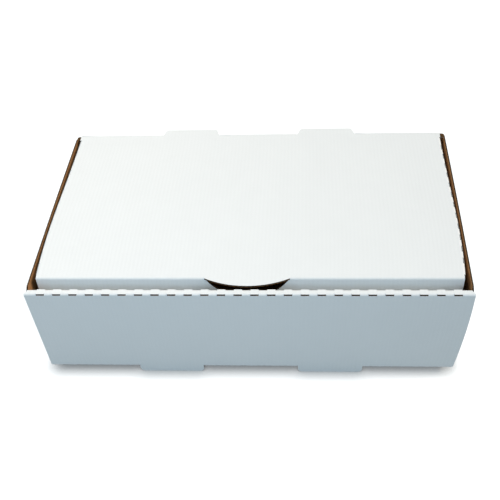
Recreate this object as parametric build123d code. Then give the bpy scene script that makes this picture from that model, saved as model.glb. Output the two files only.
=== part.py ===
from build123d import *
from math import acos, asin, atan2, cos, degrees, hypot, pi, sin
import os

# A catering box cut and folded from one sheet of white-lined corrugated board.
# The tray and the lid are two parts of that sheet, and the lid swings about their shared crease.
# Millimetres. X runs to the right, Y from the front to the rear and Z upwards.
# Everything is drawn on a level base whose underside is Z = 0 and whose front face is Y = 0,
# and the finished box is then set down on what it really stands on.

# The board and its creases
board = 1.6  # thickness of the board
fold_inside = 0.4  # radius inside a crease
layer_gap = 0.35  # slack between two layers that lie side by side
seat_gap = 0.15  # slack under an edge that stands on the base

# The tray
box_width = 343.0
box_depth = 196.0
wall_height = 92.0
corner_round = 3.0  # outer corners of the front and rear walls

# Perforated creases
cut_length = 6.35
cut_pitch = 12.7

# Tongues of the front wall, left standing when the base was cut around them
front_tongue_spacing = 136.0
front_tongue_width = 55.0
front_tongue_drop = 6.5
front_tongue_round = 4.0
cut_gap = 0.4  # play beside a tongue that moves or stands in its own cut-out

# Lock tabs of the inner front panel, which pass through the openings that the tongues leave
lock_tab_width = 46.0
lock_tab_drop = 2.5
lock_tab_taper = 3.0

# Corner tabs of the side walls
front_tab_length = 68.0
rear_tab_length = 62.0
tab_top_drop = 3.0
tab_taper = 7.0
tab_round = 6.0
shoulder_run = 4.0  # length of the slope from a front corner tab up to the side wall's top edge
shoulder_start = 4.5  # where that slope starts, behind the front face

# The lid
lid_width = 332.5
lid_top = 94.0
lid_setback = 14.9  # from the front face to the lid's front edge
lid_front_inset = 1.2  # how much narrower each side of the lid is in front of its dust flap
hinge_gap = 0.3

# The tuck flap and its thumb tab
tuck_depth = 35.0
tuck_side_taper = 1.5
tuck_round = 12.0
tuck_swing_gap = 0.6
thumb_width = 68.0
thumb_reach = 7.8
finger_depth = 19.0  # depth of the opening for a finger, cut down into the tuck flap under the thumb tab

# Dust flaps at the lid's sides
dust_depth = 50.0
dust_front_gap = 4.5
dust_rear_gap = 8.0
dust_lean = 3.0  # how far the lower edge leans inwards
dust_front_taper = 16.0
dust_rear_taper = 12.0
dust_round = 14.0

# Tongues behind the lid's crease, cut out of the rear wall
rear_tongue_spacing = 125.0
rear_tongue_root = 53.0
rear_tongue_tip = 47.0
rear_tongue_reach = 6.5
rear_tongue_round = 2.5
tongue_swing_gap = 0.5

# Values that follow
half_board = board / 2
half_width = box_width / 2
half_lid = lid_width / 2
half_lid_front = half_lid - lid_front_inset
fold_outside = fold_inside + board
fold_middle = fold_inside + half_board
bend_length = fold_middle * pi / 2
cut_bite = fold_outside - bend_length / 2
roll_width = 3 * board + 2 * layer_gap
inner_half_width = half_width - board - layer_gap
front_tab_middle = board + layer_gap + half_board
rear_tab_middle = box_depth - front_tab_middle
tab_top = wall_height - tab_top_drop
hinge_y = box_depth - half_board
hinge_z = lid_top - half_board
rear_wall_top = hinge_z - half_board - hinge_gap
front_slot_depth = 2 * fold_outside + front_tongue_drop - bend_length
rear_slot_bottom = hinge_z - hypot(rear_tongue_reach + half_board, half_board) - tongue_swing_gap
beyond = board + 1.0  # how far a cutting shape stands past what it cuts

# The tuck flap leans forward as far as its lower edge can swing past the rolled-over front wall
swing_radius = hinge_y - roll_width - tuck_swing_gap
to_front_edge = hinge_y - lid_setback
swing_reach = (swing_radius**2 - to_front_edge**2 - half_board**2 - tuck_depth**2) / (2 * tuck_depth)
tuck_lean = asin(swing_reach / hypot(to_front_edge, half_board)) + atan2(half_board, to_front_edge)


def sheet(*corners):
    """Section of a bent strip of board, whose middle runs through the corners."""
    return trace(FilletPolyline(*corners, radius=fold_middle), board)


def outline(*corners):
    """Face inside straight edges."""
    return make_face(Polyline(*corners, close=True))


def from_front(face, near, far):
    """Solid whose front view is the face, between two depths."""
    return extrude(Plane.XZ.offset(-far) * face, far - near)


def from_side(face, left, right):
    """Solid whose side view is the face, between two widths."""
    return extrude(Plane.YZ.offset(left) * face, right - left)


def from_above(face, low, high):
    """Solid whose plan is the face, between two heights."""
    return extrude(Plane.XY.offset(low) * face, high - low)


def mirrored(solid):
    """The solid and its mirror image across the middle of the box."""
    return [solid, mirror(solid, about=Plane.YZ)]


def cut_places(crease_length):
    """Middles of the cuts along a perforated crease, measured from the middle of the crease."""
    count = int((crease_length - (cut_pitch - cut_length)) / cut_pitch)
    return [(index - (count - 1) / 2) * cut_pitch for index in range(count)]


def front_base_and_rear():
    """Rear wall, base, front wall, the roll's flat top and the inner front panel, bent from one strip."""
    section = sheet(
        (hinge_y, rear_wall_top),
        (hinge_y, half_board),
        (half_board, half_board),
        (half_board, wall_height - half_board),
        (roll_width - half_board, wall_height - half_board),
        (roll_width - half_board, board + seat_gap),
    )
    strip = from_side(section, -half_width, half_width)
    lower_corner = Rectangle(corner_round, corner_round, align=Align.MIN)
    lower_corner -= Circle(corner_round)
    lower_corner = Pos(half_width - corner_round, corner_round) * Rot(X=180) * lower_corner
    upper_corner = Rectangle(corner_round, corner_round, align=Align.MIN) - Circle(corner_round)
    upper_corner = Pos(half_width - corner_round, rear_wall_top - corner_round) * upper_corner
    lower_corners = from_front(lower_corner, -beyond, box_depth + beyond)
    upper_corners = from_front(upper_corner, box_depth - beyond, box_depth + beyond)
    roll_end = outline(
        (half_width, board),
        (inner_half_width, roll_width - fold_outside),
        (inner_half_width, roll_width + beyond),
        (half_width + beyond, roll_width + beyond),
        (half_width + beyond, board),
    )
    roll_end = from_above(roll_end, board, wall_height + beyond)
    return strip - mirrored(lower_corners) - mirrored(upper_corners) - mirrored(roll_end)


def base_and_sides():
    """Base between the two side walls, bent from one strip."""
    section = sheet(
        (half_board - half_width, wall_height),
        (half_board - half_width, half_board),
        (half_width - half_board, half_board),
        (half_width - half_board, wall_height),
    )
    corner_end = front_tab_middle - half_board + fold_outside
    return from_front(section, corner_end, box_depth - corner_end)


def corner_tab(length, middle):
    """Free panel of a corner tab on the right, with its end tapered and rounded."""
    root = half_width - fold_outside
    end = half_width - length
    foot = board + seat_gap
    face = outline((root, foot), (end, foot + tab_taper), (end, tab_top - tab_taper), (root, tab_top))
    face = fillet(face.vertices().sort_by(Axis.X)[:2], tab_round)
    return from_front(face, middle - half_board, middle + half_board)


def side_wall_corners():
    """Right side wall bent round into its two corner tabs."""
    stub = half_width - fold_outside - seat_gap
    section = sheet(
        (stub, front_tab_middle),
        (half_width - half_board, front_tab_middle),
        (half_width - half_board, rear_tab_middle),
        (stub, rear_tab_middle),
    )
    wall = from_above(section, board + seat_gap, wall_height)
    front_waste = outline(
        (0, tab_top),
        (shoulder_start, tab_top),
        (shoulder_start + shoulder_run, wall_height),
        (shoulder_start + shoulder_run, wall_height + beyond),
        (0, wall_height + beyond),
    )
    rear_waste = Pos(box_depth, tab_top) * Rectangle(
        2 * (box_depth - rear_tab_middle + half_board),
        2 * (wall_height - tab_top + beyond),
        align=(Align.CENTER, Align.MIN),
    )
    wall -= from_side(front_waste, 0, half_width + beyond)
    wall -= from_side(rear_waste, 0, half_width + beyond)
    wall += corner_tab(front_tab_length, front_tab_middle)
    wall += corner_tab(rear_tab_length, rear_tab_middle)
    return wall


def front_tongue():
    """Tongue of the front wall on the right, which hangs below the base."""
    face = Rectangle(front_tongue_width, fold_outside + front_tongue_drop, align=(Align.CENTER, Align.MIN))
    face = fillet(face.vertices().sort_by(Axis.Y)[:2], front_tongue_round)
    face = Pos(front_tongue_spacing / 2, -front_tongue_drop) * face
    return from_front(face, 0, board)


def lock_tab():
    """Tab under the inner front panel on the right, which passes through the base."""
    top = board + seat_gap + board
    wide = lock_tab_width / 2
    narrow = wide - lock_tab_taper
    face = outline((-wide, top), (wide, top), (narrow, -lock_tab_drop), (-narrow, -lock_tab_drop))
    face = Pos(front_tongue_spacing / 2, 0) * face
    return from_front(face, roll_width - board, roll_width)


def base_opening():
    """What the right front tongue leaves open in the base and in the front fold."""
    return Pos(front_tongue_spacing / 2, 0, 0) * Box(
        front_tongue_width + 2 * cut_gap,
        2 * front_slot_depth,
        2 * fold_outside,
    )


def rear_opening():
    """Vent on the right that the lid's tongue leaves open at the top of the rear wall."""
    return Pos(rear_tongue_spacing / 2, hinge_y, rear_slot_bottom) * Box(
        rear_tongue_root + 2 * cut_gap,
        2 * board,
        lid_top - rear_slot_bottom,
        align=(Align.CENTER, Align.CENTER, Align.MIN),
    )


def roll_cuts():
    """Cuts along both creases of the rolled-over front wall."""
    cut = Box(cut_length, 2 * cut_bite, 2 * cut_bite)
    return [Pos(x, y, wall_height) * cut for x in cut_places(box_width) for y in (0, roll_width)]


def build_tray():
    """The tray: base, walls, corner tabs and the rolled-over front wall."""
    tray = front_base_and_rear() - mirrored(base_opening()) - mirrored(rear_opening()) - roll_cuts()
    tray += base_and_sides() - mirrored(base_opening())
    tray += mirrored(side_wall_corners()) + mirrored(front_tongue()) + mirrored(lock_tab())
    return tray


def lid_and_tuck():
    """Lid with its rounded rear edge on the hinge line, and the tuck flap at its front."""
    edge_middle = lid_setback + half_board * (1 - sin(tuck_lean)) / cos(tuck_lean)
    flap_end = (
        lid_setback - tuck_depth * sin(tuck_lean) + half_board * cos(tuck_lean),
        lid_top - tuck_depth * cos(tuck_lean) - half_board * sin(tuck_lean),
    )
    section = sheet((hinge_y, hinge_z), (edge_middle, hinge_z), flap_end)
    section += Pos(hinge_y, hinge_z) * Circle(half_board)
    strip = from_side(section, -half_lid, half_lid)
    inset = Pos(half_lid_front, 0, 0) * Box(
        lid_front_inset + beyond,
        lid_setback + dust_front_gap,
        lid_top + beyond,
        align=Align.MIN,
    )
    strip -= mirrored(inset)
    flap_top = lid_top - fold_outside
    flap_low = lid_top - tuck_depth * cos(tuck_lean) - board * sin(tuck_lean)
    low_half = half_lid_front - tuck_side_taper
    flap = outline(
        (half_lid_front, flap_top),
        (low_half, flap_low),
        (-low_half, flap_low),
        (-half_lid_front, flap_top),
    )
    flap = fillet(flap.vertices().sort_by(Axis.Y)[:2], tuck_round)
    waste = Pos(0, flap_top) * Rectangle(
        lid_width + 2 * beyond,
        flap_top - flap_low + beyond,
        align=(Align.CENTER, Align.MAX),
    )
    return strip - from_front(waste - flap, 0, lid_setback + beyond)


def half_moon(reach):
    """Segment of a circle below the X axis, as wide as the thumb tab."""
    radius = ((thumb_width / 2) ** 2 + reach**2) / (2 * reach)
    band = Rectangle(thumb_width, reach, align=(Align.CENTER, Align.MAX))
    return Pos(0, radius - reach) * Circle(radius) & band


def thumb_tab():
    """Half-moon tab that stays in the plane of the lid."""
    face = Pos(0, lid_setback) * half_moon(thumb_reach)
    face += Pos(0, lid_setback) * Rectangle(thumb_width, 2 * fold_outside, align=(Align.CENTER, Align.MIN))
    return from_above(face, lid_top - board, lid_top)


def thumb_opening():
    """A deeper half-moon, missing from the tuck flap and its crease, so that a finger reaches under the tab."""
    flap_plane = Plane(
        origin=(0, lid_setback, lid_top),
        x_dir=(-1, 0, 0),
        z_dir=(0, cos(tuck_lean), -sin(tuck_lean)),
    )
    face = half_moon(finger_depth) + Rectangle(thumb_width, 2 * fold_outside, align=(Align.CENTER, Align.MIN))
    return extrude(flap_plane.offset(-beyond) * face, beyond + 2 * fold_outside)


def dust_flaps():
    """Both dust flaps, hanging from the lid's perforated side creases."""
    lower = lid_top - dust_depth
    section = sheet(
        (half_board - half_lid + dust_lean, lower),
        (half_board - half_lid, hinge_z),
        (half_lid - half_board, hinge_z),
        (half_lid - half_board - dust_lean, lower),
    )
    front = lid_setback + dust_front_gap
    rear = box_depth - dust_rear_gap
    bent = from_front(section, front, rear)
    face = outline(
        (front, lid_top),
        (front, lid_top - fold_outside),
        (front + dust_front_taper, lower),
        (rear - dust_rear_taper, lower),
        (rear, lid_top - fold_outside),
        (rear, lid_top),
    )
    face = fillet(face.vertices().sort_by(Axis.Y)[:2], dust_round)
    return bent & from_side(face, -half_lid - beyond, half_lid + beyond)


def lid_side_trim():
    """Right edge of the flat lid, where the dust flap's bend takes its place."""
    front = lid_setback + dust_front_gap
    rear = box_depth - dust_rear_gap
    return Pos(half_lid - fold_outside, front, lid_top - 2 * board) * Box(
        fold_outside + beyond,
        rear - front,
        3 * board,
        align=Align.MIN,
    )


def lid_side_cuts():
    """Cuts along both side creases of the lid."""
    front = lid_setback + dust_front_gap
    rear = box_depth - dust_rear_gap
    cut = Box(2 * cut_bite, cut_length, 2 * cut_bite)
    places = [(front + rear) / 2 + place for place in cut_places(rear - front)]
    return [Pos(x, y, lid_top) * cut for y in places for x in (-half_lid, half_lid)]


def rear_tongue():
    """Tongue on the right that stays in the plane of the lid, behind its crease."""
    root = rear_tongue_root / 2
    tip = rear_tongue_tip / 2
    end = box_depth + rear_tongue_reach
    face = outline((-root, hinge_y), (root, hinge_y), (tip, end), (-tip, end))
    face = fillet(face.vertices().sort_by(Axis.Y)[-2:], rear_tongue_round)
    return from_above(Pos(rear_tongue_spacing / 2, 0) * face, lid_top - board, lid_top)


def build_lid():
    """The lid with its tuck flap, thumb tab, dust flaps and rear tongues."""
    lid = lid_and_tuck() - mirrored(lid_side_trim()) - thumb_opening()
    lid += dust_flaps()
    lid += thumb_tab()
    lid += mirrored(rear_tongue())
    return lid - lid_side_cuts()


def resting_place(parts):
    """Where the level box ends up once it stands on its front tongues and its rear fold."""
    up = fold_outside + front_tongue_drop
    along = box_depth - fold_outside - board
    tilt = acos(fold_outside / hypot(up, along)) - atan2(along, up)
    leaned = Rot(X=-degrees(tilt))
    room = Compound([part.moved(leaned) for part in parts]).bounding_box()
    return Pos(-room.center().X, -room.center().Y, -room.min.Z) * leaned


level = {"tray": build_tray(), "lid": build_lid()}
resting = resting_place(list(level.values()))
os.makedirs("parts", exist_ok=True)
for name, shape in level.items():
    export_step(resting * shape, f"parts/{name}.step")
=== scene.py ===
"""Looks of a catering box that is cut and folded from one sheet of white-lined corrugated board.

The tray and the lid are built as folded board: an outer white skin, an inner brown skin and raw edges
that show the liners and the fluting between them. Everything is drawn on a level base, as the box is
designed, with X to the right, Y from the front face to the rear and Z up from the base's underside.
One matrix then sets it down on its two front tongues and its rear fold. Sizes are in metres.
"""

from __future__ import annotations

import logging
from collections.abc import Callable, Iterable
from dataclasses import dataclass, replace
from enum import Enum
from math import acos, asin, atan2, ceil, cos, floor, hypot, pi, radians, sin, sqrt, tan

import bmesh
import bpy
from mathutils import Matrix, Vector
from mathutils.kdtree import KDTree


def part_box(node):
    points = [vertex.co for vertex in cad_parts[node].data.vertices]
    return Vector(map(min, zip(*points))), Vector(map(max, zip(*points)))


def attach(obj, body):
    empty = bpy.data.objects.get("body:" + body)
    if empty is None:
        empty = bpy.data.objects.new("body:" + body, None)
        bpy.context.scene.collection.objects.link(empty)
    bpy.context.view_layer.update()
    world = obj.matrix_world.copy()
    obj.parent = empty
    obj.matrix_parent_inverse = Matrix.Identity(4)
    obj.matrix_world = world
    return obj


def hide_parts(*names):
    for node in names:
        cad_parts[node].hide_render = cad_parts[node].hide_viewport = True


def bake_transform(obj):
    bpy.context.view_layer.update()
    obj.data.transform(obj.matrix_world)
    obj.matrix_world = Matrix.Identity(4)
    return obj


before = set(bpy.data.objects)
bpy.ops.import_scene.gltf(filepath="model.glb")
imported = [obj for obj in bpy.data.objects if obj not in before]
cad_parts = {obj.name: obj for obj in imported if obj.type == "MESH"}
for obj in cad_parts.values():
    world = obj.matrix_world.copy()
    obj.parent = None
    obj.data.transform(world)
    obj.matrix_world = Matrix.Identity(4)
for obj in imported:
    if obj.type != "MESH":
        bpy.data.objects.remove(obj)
log = logging.getLogger("catering_box")

MM = 0.001
ON_LINE = 0.01 * MM  # how near a line a point counts as on it
SQUARE = pi / 2
FLAT_MAP = "flat_sheet"  # UV map that holds each point's place on the flat sheet, in metres

Pair = tuple[float, float]
Triple = tuple[float, float, float]
Edge = tuple[int, int]
Outline = list[Pair]
Warp = Callable[[Vector], Vector]
Test = Callable[[Vector], bool]
Rung = tuple[bmesh.types.BMVert, bmesh.types.BMVert]


class Surface(Enum):
    """What a face of the board shows, by its material slot; the fluting slot is darkened by painted shade and
    the hollow slot is painted shade.
    """

    WHITE = 0
    KRAFT = 1
    # fluting paper, its brown darkened by painted shade
    FLUTING_PAINTED_DARK = 2
    # near-black on the hollow's walls and back: painted shade of the deep flute hollows
    HOLLOW_PAINTED_SHADE = 3


@dataclass(frozen=True)
class RawEdge:
    """How a cut edge of the board is drawn: lips of liner, and fluting in front of a hollow."""

    depth: float = 1.4 * MM  # from the edge to the back of the hollow
    torn_depth: float = 1.5  # how many times deeper the hollow is at a perforation
    torn_back: float = 0.5  # share of that depth by which the fluting stands back there
    channel_back: float = 0.45  # the same at an edge along the flutes, which opens one flute lengthways
    along_flutes: float = 0.3  # an edge runs along the flutes if it crosses them by less than this share
    doubling_back: float = 0.7  # two neighbours turn back if their directions add up to less than this
    mitre: float = 0.5  # least share by which a corner's direction agrees with its edge
    shortest: float = 0.001 * MM  # a shorter run on the white face is measured on the brown one


@dataclass(frozen=True)
class Board:
    """E-flute board and the way it creases."""

    thickness: float = 1.6 * MM
    liner: float = 0.2 * MM
    medium: float = 0.16 * MM
    flute_pitch: float = 3.2 * MM
    flute_steps: int = 8
    fold_inside: float = 0.4 * MM
    cut_out: float = 1.7 * MM  # how far the top panel stands out into a crease at a cut
    cut_up: float = 0.35 * MM  # how far the upright panel stands up there, just under the top one
    bend_steps: int = 6
    grid: float = 12.0 * MM  # distance between the lines that a region is split on
    edge: RawEdge = RawEdge()

    @property
    def fold_outside(self) -> float:
        """Radius of the white face round a crease."""
        return self.fold_inside + self.thickness

    @property
    def fold_middle(self) -> float:
        """Radius of the middle of the board round a crease."""
        return self.fold_inside + self.thickness / 2

    @property
    def bend_length(self) -> float:
        """Flat length that a square crease takes up."""
        return self.fold_middle * SQUARE


@dataclass(frozen=True)
class Place:
    """Where a panel lies: a point of its white face, three directions and the same on the flat sheet."""

    origin: Vector
    along: Vector
    across: Vector
    out: Vector
    flat: Vector
    flat_along: Vector
    flat_across: Vector

    def beyond(self, distance: float) -> Place:
        """The place further across the sheet."""
        origin = self.origin + distance * self.across
        return replace(self, origin=origin, flat=self.flat + distance * self.flat_across)

    def back(self, distance: float) -> Place:
        """The place at a distance across, facing the other way."""
        return replace(self.beyond(distance), across=-self.across, flat_across=-self.flat_across)

    def beside(self, distance: float, side: int) -> Place:
        """The place at a distance along, turned a quarter within the sheet.

        Args:
            distance: how far along the new place lies.
            side: 1 to go on along, -1 to go back.

        Returns:
            The turned place, whose along is the old across.
        """
        return Place(
            self.origin + distance * self.along,
            self.across,
            side * self.along,
            self.out,
            self.flat + distance * self.flat_along,
            self.flat_across,
            side * self.flat_along,
        )

    def folded(self, angle: float, board: Board) -> Place:
        """The place after a crease that starts here and folds away from the white side.

        Args:
            angle: how far the crease turns.
            board: the board, for its radii.

        Returns:
            The place where the next panel begins.
        """
        out = self.out * cos(angle) + self.across * sin(angle)
        return replace(
            self,
            origin=self.origin + board.fold_outside * (out - self.out),
            across=self.across * cos(angle) - self.out * sin(angle),
            out=out,
            flat=self.flat + board.fold_middle * angle * self.flat_across,
        )


@dataclass(frozen=True)
class Region:
    """One flat or bent region of the sheet: an outline on its place."""

    place: Place
    outline: Outline
    bent: bool = False
    warp: Warp | None = None


def nowhere(point: Vector) -> bool:
    """False at every point."""
    return False


def share_between(value: float, low: float, high: float) -> float:
    """How far a value has come from low to high, between 0 and 1."""
    return max(0.0, min(1.0, (value - low) / (high - low)))


def strip(low: float, high: float, length: float) -> Outline:
    """Rectangle from low to high along, as long across as a crease."""
    return [(low, 0.0), (high, 0.0), (high, length), (low, length)]


def rounded(corners: Iterable[Triple], steps: int = 6) -> Outline:
    """Outline with round corners.

    Args:
        corners: x, y and radius of each corner.
        steps: straight pieces in each round corner.

    Returns:
        The points of the outline.
    """
    corners = list(corners)
    points: Outline = []
    for index, (x, y, radius) in enumerate(corners):
        if not radius:
            points.append((x, y))
            continue
        here = Vector((x, y))
        before = (Vector(corners[index - 1][:2]) - here).normalized()
        after = (Vector(corners[(index + 1) % len(corners)][:2]) - here).normalized()
        half = acos(max(-1.0, min(1.0, before.dot(after)))) / 2
        centre = here + (before + after).normalized() * (radius / sin(half))
        start = here + before * (radius / tan(half)) - centre
        turn = (pi - 2 * half) * (1 if before.x * after.y - before.y * after.x < 0 else -1)
        for step in range(steps + 1):
            spoke = Matrix.Rotation(turn * step / steps, 2) @ start
            points.append((centre.x + spoke.x, centre.y + spoke.y))
    return points


def tapered(root: Pair, tip: Pair, end: float, radius: float) -> Outline:
    """Outline of a tongue or flap that tapers to two round corners.

    Args:
        root: where its two sides start along.
        tip: where they would end along, if the corners were sharp.
        end: how far across the tip lies.
        radius: radius of the round corners.

    Returns:
        The points, from the first side's root round to the second's.
    """
    first, second = tip
    return rounded(((root[0], 0.0, 0.0), (first, end, radius), (second, end, radius), (root[1], 0.0, 0.0)))


def swapped(outline: Outline) -> Outline:
    """The outline with along and across changed over."""
    return [(across, along) for along, across in outline]


@dataclass(frozen=True)
class Perforation:
    """Cuts at an even pitch along a crease, with lands between them."""

    start: float
    end: float
    cut_length: float = 6.35 * MM
    pitch: float = 12.7 * MM
    draft: float = 0.08 * MM  # how much each tooth narrows at either side

    def cuts(self) -> list[Pair]:
        """Start and end of each cut, evenly about the middle of the crease.

        Returns:
            The cuts, in order along the crease.
        """
        count = int((self.end - self.start - (self.pitch - self.cut_length)) / self.pitch)
        middle = (self.start + self.end) / 2
        places = [middle + (index - (count - 1) / 2) * self.pitch for index in range(count)]
        return [(place - self.cut_length / 2, place + self.cut_length / 2) for place in places]

    def lands(self) -> list[Pair]:
        """Start and end of each land that stays whole."""
        marks = [self.start, *(mark for cut in self.cuts() for mark in cut), self.end]
        return list(zip(marks[::2], marks[1::2]))

    def teeth(self, level: float, reach: float) -> Outline:
        """Teeth of a panel's edge, one at each cut.

        Args:
            level: where the edge lies across.
            reach: how far the teeth stand out from it.

        Returns:
            The points of the edge, without its two ends.
        """
        points: Outline = []
        for start, end in self.cuts():
            points += [(start, level), (start + self.draft, level + reach)]
            points += [(end - self.draft, level + reach), (end, level)]
        return points

    def edge(self, level: float, reach: float) -> Outline:
        """A panel's whole edge, from start to end, with its teeth."""
        return [(self.start, level), *self.teeth(level, reach), (self.end, level)]


class FoldedSheet:
    """Board made of regions, which share their points where they meet."""

    weld = 0.004 * MM
    on_grid = 1e-7  # how near a line of the grid a point counts as on it
    probe = 0.1 * MM  # how far from a point a warp is felt for the way the white face looks

    def __init__(self, board: Board, regions: Iterable[Region]) -> None:
        """Folds the regions into one sheet.

        Args:
            board: the board that the sheet is cut from.
            regions: everything that the sheet is made of.
        """
        self.board = board
        self.outer: list[Vector] = []
        self.inner: list[Vector] = []
        self.normals: list[Vector] = []
        self.flat: list[Vector] = []
        self.faces: list[tuple[int, ...]] = []
        for region in regions:
            self._add(region)
        self._weld()

    def _add(self, region: Region) -> None:
        """Splits a region on the sheet's grid and folds it into place.

        Args:
            region: the region.
        """
        cells = bmesh.new()
        cells.faces.new([cells.verts.new((along, across, 0)) for along, across in region.outline])
        cells.normal_update()
        for axis in (0, 1):
            self._split(cells, region, axis)
        place = region.place
        for vertex in cells.verts:
            vertex.index = len(self.outer)
            self._fold_point(region, vertex.co.x, vertex.co.y)
        outward = place.along.cross(place.across).dot(place.out)
        for face in cells.faces:
            loop = [vertex.index for vertex in face.verts]
            self.faces.append(tuple(loop if face.normal.z * outward > 0 else loop[::-1]))
        cells.free()

    def _split(self, cells: bmesh.types.BMesh, region: Region, axis: int) -> None:
        """Cuts a region's cells on the lines of the grid.

        Args:
            cells: the cells, flat.
            region: the region that they fill.
            axis: 0 to cut along the region, 1 to cut across it.
        """
        values = [point[axis] for point in region.outline]
        step = self.board.bend_length / self.board.bend_steps if region.bent and axis else self.board.grid
        for line in range(ceil(min(values) / step), floor(max(values) / step) + 1):
            geometry = cells.verts[:] + cells.edges[:] + cells.faces[:]
            normal = (1 - axis, axis, 0)
            point = [line * step * part for part in normal]
            bmesh.ops.bisect_plane(cells, geom=geometry, dist=self.on_grid, plane_co=point, plane_no=normal)

    def _fold_point(self, region: Region, along: float, across: float) -> None:
        """Adds one point of a region, on both faces of the board.

        Args:
            region: the region that the point lies in.
            along: its place along the region.
            across: its place across the region.
        """
        place, board = region.place, self.board
        if region.bent:
            angle = across / board.fold_middle
            out = place.out * cos(angle) + place.across * sin(angle)
            centre = place.origin - board.fold_outside * place.out + along * place.along
            outer = centre + board.fold_outside * out
        else:
            out = place.out
            outer = place.origin + along * place.along + across * place.across
        inner = outer - board.thickness * out
        if region.warp:
            outer, inner, out = self._warped(region.warp, outer, inner, out)
        self.outer.append(outer)
        self.inner.append(inner)
        self.normals.append(out)
        self.flat.append(place.flat + along * place.flat_along + across * place.flat_across)

    def _warped(self, warp: Warp, outer: Vector, inner: Vector, out: Vector) -> tuple[Vector, Vector, Vector]:
        """Both points after a warp.

        Args:
            warp: the warp.
            outer: the point on the white face.
            inner: the point behind it on the brown face.
            out: the direction that the white face looks before the warp.

        Returns:
            Both points, and the direction that the white face looks after the warp.
        """
        side = out.orthogonal().normalized()
        other = out.cross(side)
        here = warp(outer)
        normal = (warp(outer + self.probe * side) - here).cross(warp(outer + self.probe * other) - here)
        normal.normalize()
        return here, warp(inner), normal if normal.dot(out) > 0 else -normal

    def _weld(self) -> None:
        """Joins the regions at the points that they share."""
        middles = [(outer + inner) / 2 for outer, inner in zip(self.outer, self.inner)]
        tree = KDTree(len(middles))
        for index, middle in enumerate(middles):
            tree.insert(middle, index)
        tree.balance()
        keeper: dict[int, int] = {}
        for index, middle in enumerate(middles):
            if index not in keeper:
                for _, other, _ in tree.find_range(middle, self.weld):
                    keeper.setdefault(other, index)
        faces = []
        for face in self.faces:
            loop = [keeper[index] for index in face]
            loop = [index for place, index in enumerate(loop) if index != loop[place - 1]]
            if len(set(loop)) > 2:
                faces.append(tuple(loop))
        self.faces = faces

    def rim(self) -> list[Edge]:
        """Edges of the sheet that only one face uses, each in that face's direction."""
        used = {(face[place - 1], face[place]) for face in self.faces for place in range(len(face))}
        return [edge for edge in used if (edge[1], edge[0]) not in used]


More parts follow.
